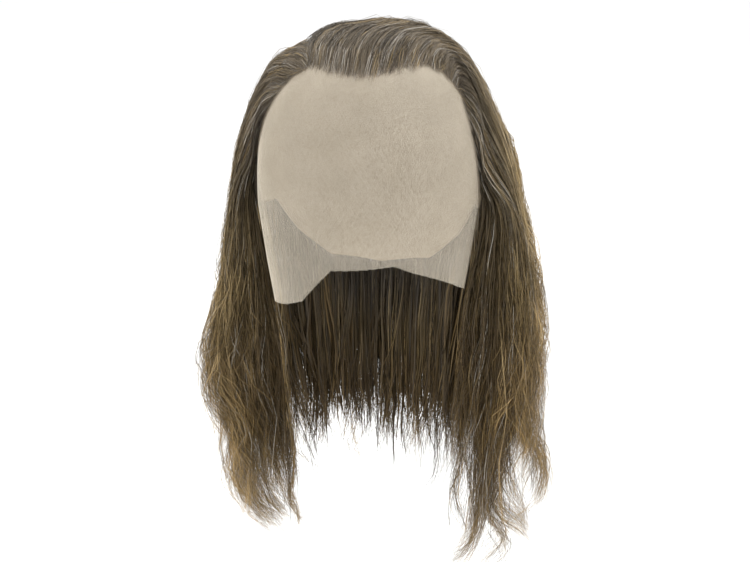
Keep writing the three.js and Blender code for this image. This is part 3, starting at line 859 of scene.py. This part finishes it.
def grow_lock(tint, root_azimuth, root_drop, half_width, hairs, points):
    """Paths, widths and tints of the hairs of one single lock."""
    root = head_point(root_azimuth, -root_drop, ROOT_GROW)
    hanging = np.array(points, float) * np.array([1, 1, -1])
    middle = catmull_rom(np.concatenate([root[None], hanging])[None], LOCK_POINTS)
    along = lengths_along(middle)
    share = along / along[:, -1:]
    _, outward, sideways = frames(middle)
    broad = half_width * np.interp(share, LOCK_SHARES, LOCK_BREADTHS)
    deep = half_width * np.interp(share, LOCK_SHARES, LOCK_DEPTHS)
    bunch = np.arange(hairs) // BUNCH
    bunches = bunch[-1] + 1
    spot = rng.normal(0, LOCK_BUNCH_SPREAD, (bunches, 2))[bunch]
    spot = spot + rng.normal(0, LOCK_HAIR_SPREAD, (hairs, 2))
    paths = (
        middle
        + sideways * (spot[:, :1] * deep)[..., None]
        + outward * (spot[:, 1:] * broad)[..., None]
    )
    stray = rng.uniform(0, 1, hairs) < LOCK_LOOK["stray"]
    one_tress = np.zeros(hairs, int)
    paths = wave(paths, one_tress, bunch, stray, np.array([False]), LOCK_LOOK)
    paths = push_out_of_head(paths, ROOT_GROW)
    cut = rng.gamma(*LOCK_BUNCH_CUT, bunches)[bunch] + rng.gamma(*LOCK_HAIR_CUT, hairs)
    paths = between(paths, np.zeros(hairs), 1 - np.minimum(cut, LOCK_MOST_CUT))
    width = LOCK_LOOK["width"] * rng.uniform(*WIDTH_RANGE, hairs)
    tints, _ = hair_tints(np.full(hairs, tint), bunch, LOCK_LOOK["grey"], BRIGHTEST_TINT)
    return paths, width, tints


# Materials

def new_material(name):
    material = bpy.data.materials.new(name)
    material.use_nodes = True
    tree = material.node_tree
    return material, tree, tree.nodes["Principled BSDF"]


def ramp(tree, source, stops):
    """A colour for each value of the source, from places and colours in rising order."""
    node = tree.nodes.new("ShaderNodeValToRGB")
    elements = node.color_ramp.elements
    while len(elements) < len(stops):
        elements.new(0.5)
    for element, (place, color) in zip(elements, stops):
        element.position = place
        element.color = (*color, 1)
    tree.links.new(source, node.inputs["Fac"])
    return node.outputs["Color"]


def blend(tree, kind, share, a, b):
    node = tree.nodes.new("ShaderNodeMix")
    node.data_type = "RGBA"
    node.blend_type = kind
    if isinstance(share, float):
        node.inputs["Factor"].default_value = share
    else:
        tree.links.new(share, node.inputs["Factor"])
    for source, socket in ((a, node.inputs["A"]), (b, node.inputs["B"])):
        tree.links.new(source, socket)
    return node.outputs["Result"]


def uv_parts(tree):
    """The UV as a whole, and its two parts."""
    uv = tree.nodes.new("ShaderNodeUVMap")
    uv.uv_map = "OFBake"
    split = tree.nodes.new("ShaderNodeSeparateXYZ")
    tree.links.new(uv.outputs["UV"], split.inputs["Vector"])
    return uv.outputs["UV"], split.outputs["X"], split.outputs["Y"]


def hair_material():
    material, tree, shader = new_material("ash_brown_hair")
    _, along, tint = uv_parts(tree)
    # darker at the roots, partly the hair's own dark roots and partly painted shade where it lies dense
    # at the form, and golden towards the ends
    brown = ramp(tree, along, [
        (0.0, (0.096, 0.077, 0.055)),
        (0.15, (0.128, 0.102, 0.067)),
        (0.35, (0.228, 0.171, 0.091)),
        (0.5, (0.238, 0.173, 0.082)),
        (0.75, (0.200, 0.138, 0.065)),
        (1.0, (0.248, 0.164, 0.060)),
    ])
    # brightness from the tint, which carries random tone and the painted shade and painted light of the
    # flows and the root mat
    depth = ramp(tree, tint, [
        (0.0, (0.2, 0.19, 0.18)),
        (0.42, (0.74, 0.73, 0.71)),
        (0.84, (1.8, 1.8, 1.8)),
    ])
    grey = ramp(tree, tint, [
        (GREY_FROM, (0.24, 0.21, 0.17)),
        (1.0, (0.50, 0.47, 0.42)),
    ])
    is_grey = ramp(tree, tint, [
        (GREY_BLEND[0], (0, 0, 0)),
        (GREY_BLEND[1], (1, 1, 1)),
    ])
    browns = blend(tree, "MULTIPLY", 1.0, brown, depth)
    tree.links.new(blend(tree, "MIX", is_grey, browns, grey), shader.inputs["Base Color"])
    shader.inputs["Roughness"].default_value = 0.46
    shader.inputs["Specular IOR Level"].default_value = 0.24
    return material


def lace_material():
    material, tree, shader = new_material("ivory_tulle")
    uv, _, _ = uv_parts(tree)
    noise = tree.nodes.new("ShaderNodeTexNoise")
    noise.inputs["Scale"].default_value = 9.0
    noise.inputs["Detail"].default_value = 3.0
    tree.links.new(uv, noise.inputs["Vector"])
    color = ramp(tree, noise.outputs["Fac"], [
        (0.3, (0.60, 0.535, 0.43)),
        (0.7, (0.70, 0.625, 0.51)),
    ])
    tree.links.new(color, shader.inputs["Base Color"])
    shader.inputs["Roughness"].default_value = 0.7
    shader.inputs["Specular IOR Level"].default_value = 0.25
    return material


# cells of the cap's net along each axis of its UVs
CAP_NET_REPEATS = (330.0, 231.0, 1.0)


def cap_material():
    material, tree, shader = new_material("beige_cap_net")
    uv, _, _ = uv_parts(tree)
    mapping = tree.nodes.new("ShaderNodeMapping")
    mapping.inputs["Scale"].default_value = CAP_NET_REPEATS
    tree.links.new(uv, mapping.inputs["Vector"])
    weave = tree.nodes.new("ShaderNodeTexVoronoi")
    weave.feature = "DISTANCE_TO_EDGE"
    weave.inputs["Scale"].default_value = 1.0
    weave.inputs["Randomness"].default_value = 0.75
    tree.links.new(mapping.outputs["Vector"], weave.inputs["Vector"])
    noise = tree.nodes.new("ShaderNodeTexNoise")
    noise.inputs["Scale"].default_value = 7.0
    noise.inputs["Detail"].default_value = 4.0
    tree.links.new(uv, noise.inputs["Vector"])
    net = ramp(tree, weave.outputs["Distance"], [
        (0.05, (1.0, 1.0, 1.0)),
        (0.35, (0.66, 0.64, 0.60)),
    ])
    # beige cloth, darkened as painted shade of the cap's shadowed inside
    cloth_with_painted_shade = ramp(tree, noise.outputs["Fac"], [
        (0.3, (0.27, 0.222, 0.162)),
        (0.7, (0.34, 0.282, 0.208)),
    ])
    tree.links.new(blend(tree, "MULTIPLY", 1.0, cloth_with_painted_shade, net), shader.inputs["Base Color"])
    bump = tree.nodes.new("ShaderNodeBump")
    bump.invert = True
    bump.inputs["Strength"].default_value = 0.35
    bump.inputs["Distance"].default_value = 0.0004
    tree.links.new(weave.outputs["Distance"], bump.inputs["Height"])
    tree.links.new(bump.outputs["Normal"], shader.inputs["Normal"])
    shader.inputs["Roughness"].default_value = 0.85
    shader.inputs["Specular IOR Level"].default_value = 0.2
    return material


HAIR = hair_material()
LACE = lace_material()
CAP = cap_material()


# Hair pieces

for piece_name, (node, flows) in HAIR_PIECES.items():
    patch = Patch()
    for flow in flows:
        add_ribbons(patch, *grow_flow(flow))
    patch.piece(piece_name, HAIR, [node] if node else ())
for piece_name, (node, tint, locks) in LOCKS.items():
    patch = Patch()
    for lock in locks:
        add_ribbons(patch, *grow_lock(tint, *lock))
    patch.piece(piece_name, HAIR, [node])


# The root mat: the dense hair at the roots, which covers the cap behind the hairline, in the darkest
# tints as painted shade

MAT_COLUMNS = 96
MAT_ROWS = 20
MAT_MARGIN = 12.0
MAT_LEAST_DROP = 3.0
MAT_GROW = CAP_WALL + 0.7
MAT_CROWN_HOLE = 0.02
MAT_SHARES = (0.0, 0.1)
# the darkest tints, as painted shade of the hair deep at the roots
MAT_PAINTED_SHADE_TINTS = (0.02, 0.12)


def root_mat():
    azimuth = np.arange(MAT_COLUMNS) * 360 / MAT_COLUMNS
    edge = np.maximum(edge_drop(HAIRLINE, mirrored(azimuth)) - MAT_MARGIN, MAT_LEAST_DROP)
    share = (np.arange(MAT_ROWS) / (MAT_ROWS - 1)) ** DOME_FULLNESS
    z = mix(MAT_GROW - MAT_CROWN_HOLE, -edge[:, None], share[None, :])
    points = head_point(azimuth[:, None], z, MAT_GROW).reshape(-1, 3)
    uvs = np.stack([
        rng.uniform(*MAT_SHARES, len(points)),
        rng.uniform(*MAT_PAINTED_SHADE_TINTS, len(points)),
    ], axis=-1)
    patch = Patch()
    patch.add(points, grid_quads(MAT_COLUMNS, MAT_ROWS, closed=True), uvs)
    return patch.piece("hair_root_mat", HAIR)


root_mat()


# The cap: a net foundation with a wall, from the crown to its edge

CAP_COLUMNS = 120
CAP_ROWS = 28
CAP_CROWN_HOLE = 0.01
# where the outer and inner sides start in the UVs' height, and how much of it they take
CAP_OUTER_UV = 0.0
CAP_INNER_UV = 0.5
CAP_SIDE_UV = 0.49
CAP_RIM_UV = 0.01


def cap():
    azimuth = np.arange(CAP_COLUMNS + 1) * 360 / CAP_COLUMNS
    edge = edge_drop(CAP_EDGE, mirrored(azimuth))
    share = np.arange(CAP_ROWS) / (CAP_ROWS - 1)
    patch = Patch()
    sides = []
    for grow, low in ((CAP_WALL, CAP_OUTER_UV), (0.0, CAP_INNER_UV)):
        z = mix(grow - CAP_CROWN_HOLE, -edge[:, None], share[None, :] ** DOME_FULLNESS)
        points = head_point(azimuth[:, None], z, grow)
        u = np.broadcast_to((azimuth / 360)[:, None], z.shape)
        v = np.broadcast_to(low + CAP_SIDE_UV * share[None, :], z.shape)
        sides.append((points, np.stack([u, v], axis=-1)))
    (outer, outer_uv), (inner, inner_uv) = sides
    quads = grid_quads(CAP_COLUMNS + 1, CAP_ROWS)
    patch.add(outer.reshape(-1, 3), quads, outer_uv.reshape(-1, 2))
    patch.add(inner.reshape(-1, 3), quads[:, ::-1], inner_uv.reshape(-1, 2))
    rim = np.stack([outer[:, -1], inner[:, -1]], axis=1).reshape(-1, 3)
    rim_uv = np.stack([outer_uv[:, -1], outer_uv[:, -1] + [0, CAP_RIM_UV]], axis=1).reshape(-1, 2)
    patch.add(rim, grid_quads(CAP_COLUMNS + 1, 2), rim_uv)
    return patch.piece("cap_foundation", CAP, ["cap"])


cap()


# The lace: a fine net of flat threads in two slanting directions, trimmed at its lower edge

THREAD_PITCH = 0.55
THREAD_UNEVENNESS = 0.07
THREAD_SLANT = math.tan(math.radians(30))
THREAD_WIDTH = 0.074
THREAD_STEP = 5.1
THREAD_LIFT = 0.06
LACE_WIDTH = 275.0
LACE_LEVELS = np.linspace(-8.0, -192.0, 260)
LACE_COLUMNS = 181
LACE_DOWN = np.arange(0, 230, 0.5)
LACE_SEAM = 1.0
LACE_UV_HEIGHT = 200


def lace_heights():
    """Heights at even lengths down the lace, in columns at even azimuths."""
    azimuth = np.linspace(-LACE_REACH, LACE_REACH, LACE_COLUMNS)
    lines = head_point(azimuth[:, None], LACE_LEVELS[None, :], LACE_WALL / 2)
    return np.stack([np.interp(LACE_DOWN, along, LACE_LEVELS) for along in lengths_along(lines)])


def lace_runs(heights, start, slant):
    """The stretches of one slanting thread that lie within the lace's edges."""
    azimuth = (start + slant * LACE_DOWN) * 2 * LACE_REACH / LACE_WIDTH
    at = np.clip((azimuth + LACE_REACH) / (2 * LACE_REACH), 0, 1) * (LACE_COLUMNS - 1)
    column = np.minimum(at.astype(int), LACE_COLUMNS - 2)
    row = np.arange(len(LACE_DOWN))
    z = mix(heights[column, row], heights[column + 1, row], at - column)
    top = -edge_drop(CAP_EDGE, mirrored(azimuth)) + LACE_SEAM
    bottom = -edge_drop(LACE_LOWER_EDGE, azimuth)
    inside = (z < top) & (z > bottom) & (np.abs(azimuth) <= LACE_REACH)
    turns = np.flatnonzero(np.diff(np.concatenate([[0], inside.astype(int), [0]])))
    for first, after in zip(turns[::2], turns[1::2]):
        length = LACE_DOWN[after - 1] - LACE_DOWN[first]
        if length < THREAD_STEP / 2:
            continue
        picked = np.linspace(first, after - 1, max(2, round(length / THREAD_STEP)) + 1).astype(int)
        yield azimuth[picked], z[picked]


def add_thread(patch, azimuth, z, lift):
    path = head_point(azimuth, z, LACE_WALL / 2 + lift)[None]
    _, _, sideways = frames(path)
    half = 0.5 * THREAD_WIDTH * sideways
    points = np.stack([path - half, path + half], axis=2).reshape(-1, 3)
    uv = np.stack([(azimuth + LACE_REACH) / (2 * LACE_REACH), -z / LACE_UV_HEIGHT], axis=-1)
    patch.add(points, ribbon_quads(2 * np.arange(len(z) - 1)), np.repeat(uv, 2, axis=0))


def lace_front():
    patch = Patch()
    heights = lace_heights()
    reach = LACE_WIDTH / 2 + LACE_DOWN[-1] * THREAD_SLANT
    for slant, lift in ((THREAD_SLANT, 0.0), (-THREAD_SLANT, THREAD_LIFT)):
        starts = np.arange(-reach, reach, THREAD_PITCH)
        for start in starts + rng.normal(0, THREAD_UNEVENNESS, len(starts)):
            for azimuth, z in lace_runs(heights, start, slant):
                add_thread(patch, azimuth, z, lift)
    made = patch.piece("lace_net", LACE, ["lace_front"])
    return made


lace_front()


# Floor, light and camera, in metres

FLOOR_Z = -0.475
FLOOR_HALF_SIZE = 60.0
SKY_STRENGTH = 1.03
LIGHT_TARGET = (0, 0, -0.2)
# name, place, diameter, power
LIGHTS = (
    ("key_light", (-0.7, -1.6, 1.5), 1.2, 34),
    ("fill_light", (1.6, -1.2, 0.6), 1.4, 16),
    ("top_light", (0.2, 0.6, 1.9), 1.4, 16),
)
CAMERA_AZIMUTH = math.radians(7)
CAMERA_PITCH = math.radians(19)
CAMERA_DISTANCE = 0.7
CAMERA_HEIGHT = 0.067
IMAGE_WIDTH = 750
FOCAL_PIXELS = 1020
AXIS_PIXEL = 370


def floor():
    mesh = bpy.data.meshes.new("floor")
    corners = [(-1, -1), (1, -1), (1, 1), (-1, 1)]
    points = [(x * FLOOR_HALF_SIZE, y * FLOOR_HALF_SIZE, FLOOR_Z) for x, y in corners]
    mesh.from_pydata(points, [], [(0, 1, 2, 3)])
    material, tree, shader = new_material("white_floor")
    noise = tree.nodes.new("ShaderNodeTexNoise")
    noise.inputs["Scale"].default_value = 3.0
    color = ramp(tree, noise.outputs["Fac"], [
        (0.3, (0.975, 0.975, 0.972)),
        (0.7, (0.985, 0.985, 0.982)),
    ])
    tree.links.new(color, shader.inputs["Base Color"])
    shader.inputs["Roughness"].default_value = 0.9
    shader.inputs["Specular IOR Level"].default_value = 0.1
    mesh.materials.append(material)
    made = bpy.data.objects.new("floor", mesh)
    bpy.context.collection.objects.link(made)


def area_light(name, place, size, power):
    data = bpy.data.lights.new(name, "AREA")
    data.shape = "DISK"
    data.size = size
    data.energy = power
    made = bpy.data.objects.new(name, data)
    made.location = place
    way = Vector(LIGHT_TARGET) - Vector(place)
    made.rotation_euler = way.to_track_quat("-Z", "Y").to_euler()
    bpy.context.collection.objects.link(made)


def lights():
    world = bpy.data.worlds.new("studio")
    world.use_nodes = True
    background = world.node_tree.nodes["Background"]
    background.inputs["Color"].default_value = (1.0, 1.0, 1.0, 1)
    background.inputs["Strength"].default_value = SKY_STRENGTH
    bpy.context.scene.world = world
    for light in LIGHTS:
        area_light(*light)


def camera():
    data = bpy.data.cameras.new("camera")
    data.sensor_width = 36
    data.lens = FOCAL_PIXELS / IMAGE_WIDTH * data.sensor_width
    data.shift_x = (IMAGE_WIDTH / 2 - AXIS_PIXEL) / IMAGE_WIDTH
    data.clip_start = 0.05
    data.clip_end = 60
    made = bpy.data.objects.new("camera", data)
    made.location = (
        CAMERA_DISTANCE * math.sin(CAMERA_AZIMUTH),
        -CAMERA_DISTANCE * math.cos(CAMERA_AZIMUTH),
        CAMERA_HEIGHT,
    )
    made.rotation_euler = (math.pi / 2 - CAMERA_PITCH, 0, CAMERA_AZIMUTH)
    bpy.context.collection.objects.link(made)
    bpy.context.scene.camera = made


floor()
lights()
camera()
bpy.context.scene.view_settings.view_transform = "Standard"
